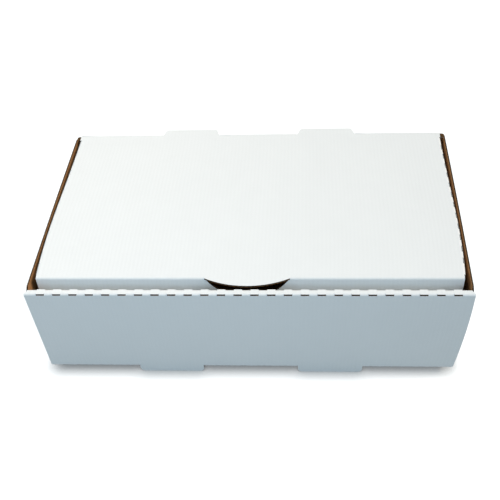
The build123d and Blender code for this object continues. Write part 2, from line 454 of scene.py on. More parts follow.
class BoardMesh:
    """Mesh of a folded sheet: two skins and the raw edges between them."""

    def __init__(self, sheet: FoldedSheet) -> None:
        """Starts the mesh with the sheet's two skins.

        Args:
            sheet: the folded sheet.
        """
        self.sheet = sheet
        self.board = sheet.board
        self.points: list[Vector] = []
        self.faces: list[tuple[int, ...]] = []
        self.kinds: list[Surface] = []
        self.maps: list[list[Vector]] = []
        self.shading: list[list[Vector]] = []
        self._skin(sheet.outer, Surface.WHITE, 1)
        self._skin(sheet.inner, Surface.KRAFT, -1)

    def _skin(self, points: list[Vector], kind: Surface, side: int) -> None:
        """Adds one skin.

        Args:
            points: the sheet's points on that face of the board.
            kind: the paper that it shows.
            side: 1 on the white face, -1 on the brown one.
        """
        sheet = self.sheet
        start = len(self.points)
        used = sorted({index for face in sheet.faces for index in face})
        kept = {index: place for place, index in enumerate(used)}
        self.points += [points[index] for index in kept]
        for face in sheet.faces:
            loop = face[::side]
            self.faces.append(tuple(start + kept[index] for index in loop))
            self.kinds.append(kind)
            self.maps.append([sheet.flat[index] for index in loop])
            self.shading.append([side * sheet.normals[index] for index in loop])

    def _strip(self, rows: tuple[list[Vector], list[Vector]], flats: list[Vector], kind: Surface) -> None:
        """Adds a strip of faces between two rows of points.

        Args:
            rows: both rows.
            flats: place of each pair of points on the flat sheet.
            kind: the paper that the strip shows.
        """
        start = len(self.points)
        count = len(rows[0])
        self.points += rows[0] + rows[1]
        for place in range(count - 1):
            near, far = start + place, start + count + place
            self.faces.append((near, near + 1, far + 1, far))
            self.kinds.append(kind)
            self.maps.append([flats[place], flats[place + 1], flats[place + 1], flats[place]])
            self.shading.append([Vector()] * 4)

    def raw_edges(self, torn: Test, covered: Test = nowhere) -> None:
        """Closes the rim with the cut edges of both liners and the fluting between them.

        Args:
            torn: true at points of a perforated crease, where the fluting is pushed back out of sight.
            covered: true at points where another piece carries the board on, so nothing is cut.
        """
        sheet, edge = self.sheet, self.board.edge
        rim = sheet.rim()
        recess = self._recesses(rim)
        for start, end in rim:
            ends = (sheet.outer[start], sheet.outer[end])
            if all(covered(point) for point in ends):
                continue
            sinks = [recess[start], recess.get(end, recess[start])]
            if all(torn(point) for point in ends):
                self._raw_edge(start, end, [sink * edge.torn_depth for sink in sinks], edge.torn_back)
            else:
                self._raw_edge(start, end, sinks, 0.0)

    def _recesses(self, rim: list[Edge]) -> dict[int, Vector]:
        """The way into the board at each point of the rim, to the back of the hollow edge.

        Args:
            rim: the sheet's rim.

        Returns:
            The way in, by the point that an edge of the rim starts from.
        """
        sheet, edge = self.sheet, self.board.edge
        leading = {end: start for start, end in rim}
        outward = {pair: self._outward(pair) for pair in rim}
        recess: dict[int, Vector] = {}
        for start, end in rim:
            here = outward[(start, end)]
            middle = outward.get((leading.get(start, -1), start), here) + here
            if middle.length < edge.doubling_back:
                inward = sheet.outer[start] - sheet.outer[end]
                inward -= inward.project(sheet.normals[start])
                recess[start] = inward.normalized() * edge.depth
            else:
                middle.normalize()
                recess[start] = middle * (-edge.depth / max(edge.mitre, middle.dot(here)))
        return recess

    def _outward(self, pair: Edge) -> Vector:
        """Direction that a cut edge looks, in the plane of the board.

        Args:
            pair: both points of the rim that the edge runs between.

        Returns:
            The direction, as a unit vector.
        """
        start, end = pair
        run = self.sheet.outer[end] - self.sheet.outer[start]
        if run.length < self.board.edge.shortest:
            run = self.sheet.inner[end] - self.sheet.inner[start]
        return run.cross(self.sheet.normals[start] + self.sheet.normals[end]).normalized()

    def _raw_edge(self, start: int, end: int, sinks: list[Vector], back: float) -> None:
        """Adds the cut edge between two points of the rim.

        Args:
            start: the point that the edge starts from.
            end: the point that it ends at.
            sinks: from each of them, the way into the board to the back of the hollow edge.
            back: share of that way by which the fluting stands back.
        """
        sheet, board = self.sheet, self.board
        share = board.liner / board.thickness
        phases = [sheet.flat[index].x / board.flute_pitch for index in (start, end)]
        crossed = phases[1] - phases[0]
        steps = max(1, ceil(abs(crossed) * board.flute_steps))
        spots = [step / steps for step in range(steps + 1)]
        flats = [sheet.flat[start].lerp(sheet.flat[end], spot) for spot in spots]

        def level(spot: float, depth: float, sunk: float) -> Vector:
            """Point at a spot along the edge, a depth through the board and a share of the way in.

            Args:
                spot: share of the way along the edge.
                depth: share of the way through the board.
                sunk: share of the way in to the back of the hollow edge.

            Returns:
                The point.
            """
            outer = sheet.outer[start].lerp(sheet.outer[end], spot)
            inner = sheet.inner[start].lerp(sheet.inner[end], spot)
            return outer.lerp(inner, depth) + sunk * sinks[0].lerp(sinks[1], spot)

        def row(depth: float, sunk: float = 0.0) -> list[Vector]:
            """Both ends of a straight row at one depth through the board."""
            return [level(0.0, depth, sunk), level(1.0, depth, sunk)]

        ends = [flats[0], flats[-1]]
        self._strip((row(share), row(0)), ends, Surface.WHITE)
        # The hollow's walls and back get the near-black paper: painted shade of the flute hollows.
        self._strip((row(share, 1), row(share)), ends, Surface.HOLLOW_PAINTED_SHADE)
        self._strip((row(1 - share, 1), row(share, 1)), ends, Surface.HOLLOW_PAINTED_SHADE)
        self._strip((row(1 - share), row(1 - share, 1)), ends, Surface.HOLLOW_PAINTED_SHADE)
        self._strip((row(1), row(1 - share)), ends, Surface.KRAFT)
        length = (flats[-1] - flats[0]).length
        if not back and abs(crossed) * board.flute_pitch < board.edge.along_flutes * length:
            sunk = board.edge.channel_back
            self._strip((row(1 - share, sunk), row(share, sunk)), ends, Surface.FLUTING_PAINTED_DARK)
            return
        half = board.medium / board.thickness / 2
        swing = 0.5 - share - half
        waves = [0.5 + swing * cos(2 * pi * (phases[0] + crossed * spot)) for spot in spots]
        rows = [
            [level(spot, wave + side * half, sunk) for spot, wave in zip(spots, waves)]
            for side, sunk in ((-1, 1), (-1, back), (1, back), (1, 1))
        ]
        for near, far in zip(rows[1:], rows):
            self._strip((near, far), flats, Surface.FLUTING_PAINTED_DARK)

    def piece(self, name: str, seat: Matrix, papers: list[bpy.types.Material]) -> bpy.types.Object:
        """The finished object.

        Args:
            name: the object's name.
            seat: matrix that sets the level box down on the floor.
            papers: materials in the order of Surface.

        Returns:
            The object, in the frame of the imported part.
        """
        mesh = bpy.data.meshes.new(name)
        mesh.from_pydata([seat @ point for point in self.points], [], self.faces)
        layer = mesh.uv_layers.new(name=FLAT_MAP)
        layer.data.foreach_set("uv", [part for face in self.maps for spot in face for part in spot[:2]])
        mesh.polygons.foreach_set("material_index", [kind.value for kind in self.kinds])
        mesh.polygons.foreach_set("use_smooth", [True] * len(self.kinds))
        turn = seat.to_3x3()
        mesh.normals_split_custom_set([turn @ normal for face in self.shading for normal in face])
        for paper in papers:
            mesh.materials.append(paper)
        return linked(name, mesh)


def linked(name: str, data: bpy.types.ID) -> bpy.types.Object:
    """A new object of the scene.

    Args:
        name: its name.
        data: the mesh, camera or light that it shows.

    Returns:
        The object.
    """
    thing = bpy.data.objects.new(name, data)
    bpy.context.scene.collection.objects.link(thing)
    return thing


@dataclass(frozen=True)
class RearTongue:
    """A tongue behind the lid's crease, cut out of the rear wall, where it leaves a vent."""

    middle: float = 62.5 * MM
    root: float = 53.0 * MM
    tip: float = 47.0 * MM
    reach: float = 6.5 * MM
    corner: float = 2.5 * MM
    side_gap: float = 0.4 * MM
    swing_gap: float = 0.5 * MM

    @property
    def vent_half(self) -> float:
        """Half the width of the vent."""
        return self.root / 2 + self.side_gap

    def vent_depth(self, board: Board) -> float:
        """How far the vent reaches down from the lid's top, so that the tongue can swing through it."""
        half_board = board.thickness / 2
        return half_board + hypot(self.reach + half_board, half_board) + self.swing_gap

    def outline(self, middle: float, board: Board) -> Outline:
        """Outline of the tongue across the crease, from the vent's left side to its right.

        Args:
            middle: where its middle lies along the crease.
            board: the board, for the radius of the crease.

        Returns:
            The points, which reach back from the crease.
        """
        root, tip = self.root / 2, self.tip / 2
        end = -(board.fold_outside + self.reach)
        tongue = tapered((middle - root, middle + root), (middle - tip, middle + tip), end, self.corner)
        return [(middle - self.vent_half, 0.0), *tongue, (middle + self.vent_half, 0.0)]


@dataclass(frozen=True)
class Tray:
    """The part of the sheet that stands still: base, walls, corner tabs and rolled-over front wall."""

    board: Board
    rear_tongue: RearTongue = RearTongue()
    width: float = 343.0 * MM
    depth: float = 196.0 * MM
    height: float = 92.0 * MM
    corner_round: float = 3.0 * MM
    corner_steps: int = 6
    layer_gap: float = 0.35 * MM
    seat_gap: float = 0.15 * MM
    tongue_middle: float = 68.0 * MM
    tongue_width: float = 55.0 * MM
    tongue_drop: float = 6.5 * MM
    tongue_round: float = 4.0 * MM
    cut_gap: float = 0.4 * MM
    roll_inset: float = 0.41 * MM  # how far the roll's top steps in at each end of the front crease
    roll_inset_start: float = 0.87  # share of the crease's bend that is still full width
    roll_plain_end: float = 5.0 * MM  # stretch at each end of the roll that no cut comes near
    lock_width: float = 46.0 * MM
    lock_tip: float = 40.0 * MM
    lock_drop: float = 2.5 * MM
    front_tab: float = 68.0 * MM
    rear_tab: float = 62.0 * MM
    tab_top_drop: float = 3.0 * MM
    tab_taper: float = 7.0 * MM
    tab_round: float = 6.0 * MM
    tab_foot_start: float = 0.25  # share of a tab's bend before its foot comes free of the base
    rear_step: float = 0.2  # share of a rear tab's bend that keeps the full height of the side wall
    shoulder_run: float = 4.0 * MM
    shoulder_start: float = 4.5 * MM
    shoulder_inset: float = 0.6 * MM
    wall_bow: float = 0.4 * MM
    bow_from: float = 0.8  # share of the half width that a side wall's bow leaves alone
    bow_to: float = 0.95  # share of the half width where it is whole
    pinch: float = 6.0 * MM
    pinch_start: float = -80.0 * MM
    pinch_depth: float = 140.0 * MM

    @property
    def half(self) -> float:
        """Half the width of the front wall."""
        return self.width / 2

    @property
    def roll_width(self) -> float:
        """Width of the flat top of the rolled-over front wall."""
        return 3 * self.board.thickness + 2 * self.layer_gap

    @property
    def roll_half(self) -> float:
        """Half the width of the roll behind its front crease, which fits between the side walls."""
        return self.half - self.board.thickness - self.layer_gap

    @property
    def rim_half(self) -> float:
        """Half the width of the front and rear walls where their lower fold ends."""
        rise = self.corner_round - self.board.fold_outside
        return self.half - self.corner_round + sqrt(self.corner_round**2 - rise**2)

    @property
    def corner_end(self) -> float:
        """Distance from the front or rear face at which a side wall turns into its corner tab."""
        return self.board.thickness + self.layer_gap + self.board.fold_outside

    @property
    def lock_root(self) -> float:
        """Width of a lock tab where it leaves the inner front panel, one board above the base."""
        whole = 2 * self.board.thickness + self.seat_gap + self.lock_drop
        return self.lock_width - (self.lock_width - self.lock_tip) * self.board.thickness / whole

    @property
    def cuts(self) -> Perforation:
        """Cuts along either crease of the roll."""
        return Perforation(-self.half, self.half)

    def base_place(self) -> Place:
        """Middle of the front edge of the base, on its underside."""
        origin, along, across = Vector((0, 0, 0)), Vector((1, 0, 0)), Vector((0, 1, 0))
        return Place(origin, along, across, Vector((0, 0, -1)), origin, along, across)

    def pinched(self, point: Vector) -> Vector:
        """The point after the lower right front corner is drawn in, as on the used box.

        Args:
            point: a point of the level box.

        Returns:
            The point where the used box has it.
        """
        low = share_between(self.height - point.z, 0.0, self.height) ** 2
        right = max(0.0, (point.x - self.pinch_start) / (self.half - self.pinch_start))
        near = max(0.0, 1 - point.y / self.pinch_depth) if point.y > 0 else 1.0
        return Vector((point.x - self.pinch * low * right * near, point.y, point.z))

    def bowed(self, point: Vector) -> Vector:
        """The point of a side wall, which stands full width only in the middle of its upper edge.

        Args:
            point: a point of a side wall or corner tab of the level box.

        Returns:
            The point where the used box has it.
        """
        share = share_between(point.y, 0.0, self.depth)
        high = share_between(point.z, 0.0, self.height) ** 2
        edge = share_between(abs(point.x) / self.half, self.bow_from, self.bow_to)
        inward = self.wall_bow * (1 - sin(pi * share)) * high * edge
        return self.pinched(point - Vector((inward if point.x > 0 else -inward, 0, 0)))

    def on_roll_crease(self, point: Vector) -> bool:
        """Whether a point of the sheet's rim lies on one of the roll's perforated creases.

        Args:
            point: the point.

        Returns:
            True if it does.
        """
        low = self.height - 2 * self.board.fold_outside
        inside = abs(point.x) < self.half - self.roll_plain_end
        return point.z > low and point.y < self.roll_width + ON_LINE and inside

    def corner(self, side: int) -> Outline:
        """Rounded lower end of a front or rear bend.

        Args:
            side: 1 on the right, -1 on the left.

        Returns:
            The points, from the base up to the wall.
        """
        board = self.board
        points: Outline = []
        for step in range(self.corner_steps + 1):
            angle = SQUARE * step / self.corner_steps
            low = board.fold_outside * (1 - cos(angle))
            run = sqrt(self.corner_round**2 - (self.corner_round - low) ** 2)
            points.append((side * (self.half - self.corner_round + run), board.fold_middle * angle))
        return points

    def slots(self) -> list[Pair]:
        """Start and end of each opening that a front tongue leaves."""
        reach = self.tongue_width / 2 + self.cut_gap
        return [(side * self.tongue_middle - reach, side * self.tongue_middle + reach) for side in (-1, 1)]

    def build(self, seat: Matrix, papers: list[bpy.types.Material]) -> bpy.types.Object:
        """Builds and dresses the tray.

        Args:
            seat: matrix that sets the level box down.
            papers: materials in the order of Surface.

        Returns:
            The piece, which rides on the tray's body.
        """
        mesh = BoardMesh(FoldedSheet(self.board, (self.base(), *self.front(), *self.rear(), *self.sides())))
        mesh.raw_edges(torn=self.on_roll_crease)
        piece = mesh.piece("tray_board", seat, papers)
        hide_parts("tray")
        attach(piece, "tray")
        return piece

    def base(self) -> Region:
        """The base, open where the front tongues were cut from.

        Returns:
            Its one region.
        """
        bend, end = self.board.fold_outside, self.corner_end
        side, corner = self.half - bend, self.half - self.corner_round
        opening = 2 * bend + self.tongue_drop - self.board.bend_length
        outline: Outline = [(-corner, bend)]
        for start, stop in self.slots():
            outline += [(start, bend), (start, opening), (stop, opening), (stop, bend)]
        right = [(corner, bend), (corner, end), (side, end)]
        right += [(side, self.depth - end), (corner, self.depth - end), (corner, self.depth - bend)]
        left = [(-x, y) for x, y in right[:0:-1]]
        return Region(self.base_place(), outline + right + left, warp=self.pinched)

    def front(self) -> list[Region]:
        """Front wall, the roll's flat top and the inner front panel, with the creases between them.

        Returns:
            Their regions, from the base round to the inside.
        """
        board = self.board
        fold = self.base_place().back(board.fold_outside)
        wall = fold.folded(SQUARE, board)
        crease = wall.beyond(self.height - 2 * board.fold_outside)
        roll = crease.folded(SQUARE, board)
        inner_crease = roll.beyond(self.roll_width - 2 * board.fold_outside)
        regions = [*self.front_fold(fold), self.front_wall(wall), *self.front_crease(crease), self.roll(roll)]
        for start, stop in self.cuts.lands():
            low, high = max(start, -self.roll_half), min(stop, self.roll_half)
            bent = strip(low, high, board.bend_length)
            regions.append(Region(inner_crease, bent, bent=True, warp=self.pinched))
        return [*regions, self.inner_panel(inner_crease.folded(SQUARE, board))]

    def front_fold(self, fold: Place) -> list[Region]:
        """The fold under the front wall, in the stretches beside the tongues.

        Args:
            fold: where it starts, at the base.

        Returns:
            One region for each stretch.
        """
        length = self.board.bend_length
        marks = [-self.half, *(mark for slot in self.slots() for mark in slot), self.half]
        regions = []
        for start, stop in zip(marks[::2], marks[1::2]):
            left = self.corner(-1)[::-1] if start == -self.half else [(start, length), (start, 0.0)]
            right = self.corner(1) if stop == self.half else [(stop, 0.0), (stop, length)]
            regions.append(Region(fold, left + right, bent=True, warp=self.pinched))
        return regions

    def front_wall(self, wall: Place) -> Region:
        """Front wall with its two tongues and the teeth of its perforated crease.

        Args:
            wall: where the flat wall starts, above the fold.

        Returns:
            Its one region.
        """
        bend = self.board.fold_outside
        lower: Outline = [(-self.rim_half, 0.0)]
        for start, stop in self.slots():
            sides = (start + self.cut_gap, stop - self.cut_gap)
            tongue = tapered(sides, sides, -bend - self.tongue_drop, self.tongue_round)
            lower += [(start, 0.0), *tongue, (stop, 0.0)]
        lower += [(self.rim_half, 0.0), (self.half, self.corner_round - bend)]
        upper = self.cuts.edge(self.height - 2 * bend, self.board.cut_up)[::-1]
        return Region(wall, [*lower, *upper, (-self.half, self.corner_round - bend)], warp=self.pinched)

    def front_crease(self, crease: Place) -> list[Region]:
        """Lands of the crease from the front wall to the roll's top.

        Args:
            crease: where it starts, at the wall.

        Returns:
            One region for each land.
        """
        length, step = self.board.bend_length, self.roll_inset_start * self.board.bend_length
        end = self.half - self.roll_inset
        regions = []
        for start, stop in self.cuts.lands():
            low, high = max(start, -end), min(stop, end)
            bent = [(start, 0.0), (stop, 0.0), (stop, step), (high, length), (low, length), (start, step)]
            regions.append(Region(crease, bent, bent=True, warp=self.pinched))
        return regions

    def roll(self, roll: Place) -> Region:
        """The roll's flat top, with teeth on both sides.

        Args:
            roll: where it starts, behind the front crease.

        Returns:
            Its one region.
        """
        end = self.half - self.roll_inset
        flat = self.roll_width - 2 * self.board.fold_outside
        near = self.cuts.teeth(0.0, -self.board.cut_out)
        far = self.cuts.teeth(flat, self.board.cut_out)[::-1]
        outline = [(-end, 0.0), *near, (end, 0.0), (self.roll_half, flat), *far, (-self.roll_half, flat)]
        return Region(roll, outline, warp=self.pinched)

    def inner_panel(self, panel: Place) -> Region:
        """Inner front panel, with its teeth above and its two lock tabs below.

        Args:
            panel: where it starts, below the inner crease.

        Returns:
            Its one region.
        """
        board, end = self.board, self.roll_half
        foot = self.height - board.fold_outside - board.thickness - self.seat_gap
        tip = foot + board.thickness + self.seat_gap + self.lock_drop
        face = [(-end, 0.0), *self.cuts.teeth(0.0, -board.cut_up), (end, 0.0), (end, foot)]
        for middle in (self.tongue_middle, -self.tongue_middle):
            face += [(middle + self.lock_root / 2, foot), (middle + self.lock_tip / 2, tip)]
            face += [(middle - self.lock_tip / 2, tip), (middle - self.lock_root / 2, foot)]
        return Region(panel, [*face, (-end, foot)], warp=self.pinched)

    def rear(self) -> list[Region]:
        """Rear wall with the vents that the lid's tongues leave, and the fold under it.

        Returns:
            The fold and the wall.
        """
        board, tongue = self.board, self.rear_tongue
        bend, half = board.fold_outside, self.half
        fold = self.base_place().beyond(self.depth - bend)
        top = self.height - bend
        low = self.height - tongue.vent_depth(board)
        face = [(-self.rim_half, 0.0, 0.0), (self.rim_half, 0.0, 0.0), (half, self.corner_round - bend, 0.0)]
        face.append((half, top, self.corner_round))
        for middle in (tongue.middle, -tongue.middle):
            left, right = middle - tongue.vent_half, middle + tongue.vent_half
            face += [(right, top, 0.0), (right, low, 0.0), (left, low, 0.0), (left, top, 0.0)]
        face += [(-half, top, self.corner_round), (-half, self.corner_round - bend, 0.0)]
        bent = self.corner(-1)[::-1] + self.corner(1)
        return [Region(fold, bent, bent=True), Region(fold.folded(SQUARE, board), rounded(face))]

    def sides(self) -> list[Region]:
        """Both side walls, each with a corner tab at its front and its rear."""
        return [region for side in (1, -1) for region in self.side_wall(side)]

    def side_wall(self, side: int) -> list[Region]:
        """One side wall with its base crease and both corner tabs.

        Args:
            side: 1 on the right, -1 on the left.

        Returns:
            Its regions.
        """
        board, end = self.board, self.corner_end
        bend = board.fold_outside
        far, top = self.depth - end, self.height - bend
        fold = self.base_place().beside(side * (self.half - bend), side)
        wall = fold.folded(SQUARE, board)
        tab_top = top - self.tab_top_drop
        shoulder = end + self.shoulder_inset
        rise = self.tab_top_drop * (shoulder - self.shoulder_start) / self.shoulder_run
        face = [(end, 0.0), (far, 0.0), (far, top), (self.shoulder_start + self.shoulder_run, top)]
        face += [(shoulder, tab_top + max(0.0, rise)), (end, tab_top)]
        return [
            Region(fold, strip(end, far, board.bend_length), bent=True, warp=self.bowed),
            Region(wall, face, warp=self.bowed),
            *self.corner_tab(wall.beside(end, -1), self.front_tab, tab_top, tab_top),
            *self.corner_tab(wall.beside(far, 1), self.rear_tab, tab_top, top),
        ]

    def corner_tab(self, crease: Place, length: float, tab_top: float, wall_top: float) -> list[Region]:
        """One corner tab and the bend that it hangs from.

        Args:
            crease: where the bend starts.
            length: the tab's length from the face of the side wall.
            tab_top: height of its root.
            wall_top: height at which the bend starts.

        Returns:
            The bend and the tab.
        """
        board = self.board
        foot = board.thickness + self.seat_gap - board.fold_outside
        bent: Outline = [(0.0, 0.0), (wall_top, 0.0)]
        if wall_top > tab_top:
            step = self.rear_step * board.bend_length
            bent += [(wall_top, step), (tab_top, step)]
        bent += [(tab_top, board.bend_length), (foot, board.bend_length)]
        bent.append((foot, self.tab_foot_start * board.bend_length))
        tip = (tab_top - self.tab_taper, foot + self.tab_taper)
        flap = tapered((tab_top, foot), tip, length - board.fold_outside, self.tab_round)
        return [
            Region(crease, bent, bent=True, warp=self.bowed),
            Region(crease.folded(SQUARE, board), flap, warp=self.bowed),
        ]


@dataclass(frozen=True)
class Lid:
    """The part of the sheet that swings: lid panel, tuck flap, thumb tab, dust flaps and rear tongues."""

    board: Board
    tray: Tray
    width: float = 332.5 * MM
    setback: float = 14.9 * MM
    front_inset: float = 1.2 * MM
    cut_out: float = 1.0 * MM  # how far the lid stands out into its side creases at a cut
    side_crease: float = 1.1  # how many outer radii from the edge a side crease's cuts begin
    swell: float = 1.9 * MM
    swell_forward: float = 1.9  # 1 swells most at half depth, more than that swells further forward
    tuck_depth: float = 35.0 * MM
    tuck_side_taper: float = 1.5 * MM
    tuck_round: float = 12.0 * MM
    tuck_swing_gap: float = 0.6 * MM
    thumb_width: float = 66.0 * MM
    thumb_reach: float = 7.8 * MM
    thumb_steps: int = 32
    finger_depth: float = 19.0 * MM
    dust_depth: float = 50.0 * MM
    dust_front_gap: float = 4.5 * MM
    dust_rear_gap: float = 8.0 * MM
    dust_lean: float = 3.0 * MM
    dust_front_taper: float = 16.0 * MM
    dust_rear_taper: float = 12.0 * MM
    dust_round: float = 14.0 * MM

    @property
    def half(self) -> float:
        """Half the width of the lid."""
        return self.width / 2

    @property
    def front_half(self) -> float:
        """Half the width of the lid in front of its dust flaps."""
        return self.half - self.front_inset

    @property
    def top(self) -> float:
        """Height of the lid's white face."""
        return self.tray.height + self.board.fold_outside

    @property
    def rear(self) -> float:
        """Depth at which the flat lid ends and the rear crease begins."""
        return self.tray.depth - self.board.fold_outside

    @property
    def tuck_lean(self) -> float:
        """Angle by which the tuck flap leans forward, so that its lower edge can swing past the roll.

        Returns:
            The angle from upright.
        """
        half_board = self.board.thickness / 2
        hinge = self.tray.depth - half_board
        swing = hinge - self.tray.roll_width - self.tuck_swing_gap
        reach = hinge - self.setback
        room = (swing**2 - reach**2 - half_board**2 - self.tuck_depth**2) / (2 * self.tuck_depth)
        return asin(room / hypot(reach, half_board)) + atan2(half_board, reach)

    @property
    def tuck_turn(self) -> float:
        """Angle of the front crease."""
        return SQUARE - self.tuck_lean

    @property
    def tuck_tangent(self) -> float:
        """Distance from the start of the front crease to the sharp front edge."""
        return self.board.fold_outside * tan(self.tuck_turn / 2)

    @property
    def front(self) -> float:
        """Where the front crease begins, from the rear crease."""
        return self.rear - self.setback - self.tuck_tangent

    @property
    def side_turn(self) -> float:
        """Angle of a side crease."""
        return SQUARE + atan2(self.dust_lean, self.dust_depth - self.board.thickness / 2)

    @property
    def side(self) -> float:
        """Where a side crease begins, from the middle of the lid."""
        return self.half - self.board.fold_outside * tan(self.side_turn / 2)

    @property
    def side_cuts(self) -> Perforation:
        """Cuts along a side crease, from the rear crease forward."""
        near = self.dust_rear_gap - self.board.fold_outside
        return Perforation(near, self.rear - self.setback - self.dust_front_gap)

    def rear_place(self) -> Place:
        """Middle of the flat lid's rear end, on its white face.

        Returns:
            The place, with its across pointing to the front.
        """
        board = self.board
        wall = self.tray.base_place().beyond(self.rear).folded(SQUARE, board)
        return wall.beyond(self.tray.height - board.fold_outside).folded(SQUARE, board)

    def swollen(self, point: Vector) -> Vector:
        """The point after the dust flaps have pushed the lid's sides out, most of all towards the front.

        Args:
            point: a point of the level lid.

        Returns:
            The point where the used box has it.
        """
        share = share_between(-point.y, -self.rear, -self.setback - self.board.fold_outside)
        swell = self.swell * sin(pi * share**self.swell_forward)
        return Vector((point.x * (1 + swell / self.half), point.y, point.z))

    def on_side_crease(self, point: Vector) -> bool:
        """Whether a point of the sheet's rim lies on a perforated side crease."""
        reach = self.side_crease * self.board.fold_outside
        return abs(point.x) > self.half - reach and point.z > self.top - 2 * self.board.fold_outside

    def on_rear_crease(self, point: Vector) -> bool:
        """Whether a point lies where the rear crease carries the board on."""
        return abs(point.y - self.rear) < ON_LINE

    def build(self, seat: Matrix, papers: list[bpy.types.Material]) -> bpy.types.Object:
        """Builds and dresses the lid.

        Args:
            seat: matrix that sets the level box down.
            papers: materials in the order of Surface.

        Returns:
            The piece, which rides on the lid's body.
        """
        mesh = BoardMesh(FoldedSheet(self.board, self.regions()))
        mesh.raw_edges(torn=self.on_side_crease, covered=self.on_rear_crease)
        piece = mesh.piece("lid_board", seat, papers)
        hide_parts("lid")
        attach(piece, "lid")
        return piece

    def regions(self) -> list[Region]:
        """Lid panel, tuck flap and dust flaps with their creases.

        Returns:
            Their regions.
        """
        board, edge = self.board, self.front_half
        place = self.rear_place()
        regions = [Region(place, self.panel(), warp=self.swollen)]
        crease = place.beyond(self.front)
        length = board.fold_middle * self.tuck_turn
        for low, high in ((-edge, -self.thumb_width / 2), (self.thumb_width / 2, edge)):
            regions.append(Region(crease, strip(low, high, length), bent=True))
        regions.append(Region(crease.folded(self.tuck_turn, board), self.tuck()))
        length = board.fold_middle * self.side_turn
        for hand in (1, -1):
            fold = place.beside(hand * self.side, hand)
            for low, high in self.side_cuts.lands():
                regions.append(Region(fold, strip(low, high, length), bent=True, warp=self.swollen))
            regions.append(Region(fold.folded(self.side_turn, board), self.dust(), warp=self.swollen))
        return regions

    def moon(self, reach: float, level: float = 0.0) -> Outline:
        """Arc of a half moon as wide as the thumb tab.

        Args:
            reach: how deep the half moon is.
            level: depth at which the arc starts and ends.

        Returns:
            Points across the box and down from the half moon's straight side, from right to left.
        """
        radius = ((self.thumb_width / 2) ** 2 + reach**2) / (2 * reach)
        centre = radius - reach
        end = acos((centre + level) / radius)
        angles = [end - 2 * end * step / self.thumb_steps for step in range(self.thumb_steps + 1)]
        return [(radius * sin(angle), radius * cos(angle) - centre) for angle in angles]

    def panel(self) -> Outline:
        """Outline of the flat lid with its thumb tab and rear tongues.

        Returns:
            The points, from the rear left corner round to the right and the front.
        """
        half, edge, front, chord = self.half, self.front_half, self.front, self.thumb_width / 2
        cuts, tongue = self.side_cuts, self.tray.rear_tongue
        outline: Outline = [(-half, 0.0)]
        for middle in (-tongue.middle, tongue.middle):
            outline += tongue.outline(middle, self.board)
        outline += [(half, 0.0), (half, cuts.start), *swapped(cuts.edge(self.side, self.cut_out))]
        moon = [(x, front + self.tuck_tangent + y) for x, y in self.moon(self.thumb_reach)]
        outline += [(edge, cuts.end), (edge, front), (chord, front), *moon, (-chord, front)]
        left = swapped(cuts.edge(-self.side, -self.cut_out))[::-1]
        return [*outline, (-edge, front), (-edge, cuts.end), *left, (-half, cuts.start)]

    def tuck(self) -> Outline:
        """Outline of the tuck flap, open where the thumb tab was cut from.

        Returns:
            The points, round from the right end of the opening.
        """
        half, chord, tangent = self.front_half, self.thumb_width / 2, self.tuck_tangent
        low = half - self.tuck_side_taper
        moon = [(x, y - tangent) for x, y in self.moon(self.finger_depth, tangent)]
        lower = tapered((half, -half), (low, -low), self.tuck_depth - tangent, self.tuck_round)
        return [(chord, 0.0), *lower, (-chord, 0.0), *moon[::-1]]

    def dust(self) -> Outline:
        """Outline of a dust flap, with the teeth of its crease.

        Returns:
            The points, from the rear end of the crease forward and back round the flap.
        """
        near, far = self.side_cuts.start, self.side_cuts.end
        end = (self.dust_depth - self.board.thickness / 2) / cos(atan2(self.dust_lean, self.dust_depth))
        tip = (far - self.dust_front_taper, near + self.dust_rear_taper)
        upper = self.side_cuts.edge(0.0, -self.board.cut_up)
        return upper[:-1] + tapered((far, near), tip, end, self.dust_round)[:-1]


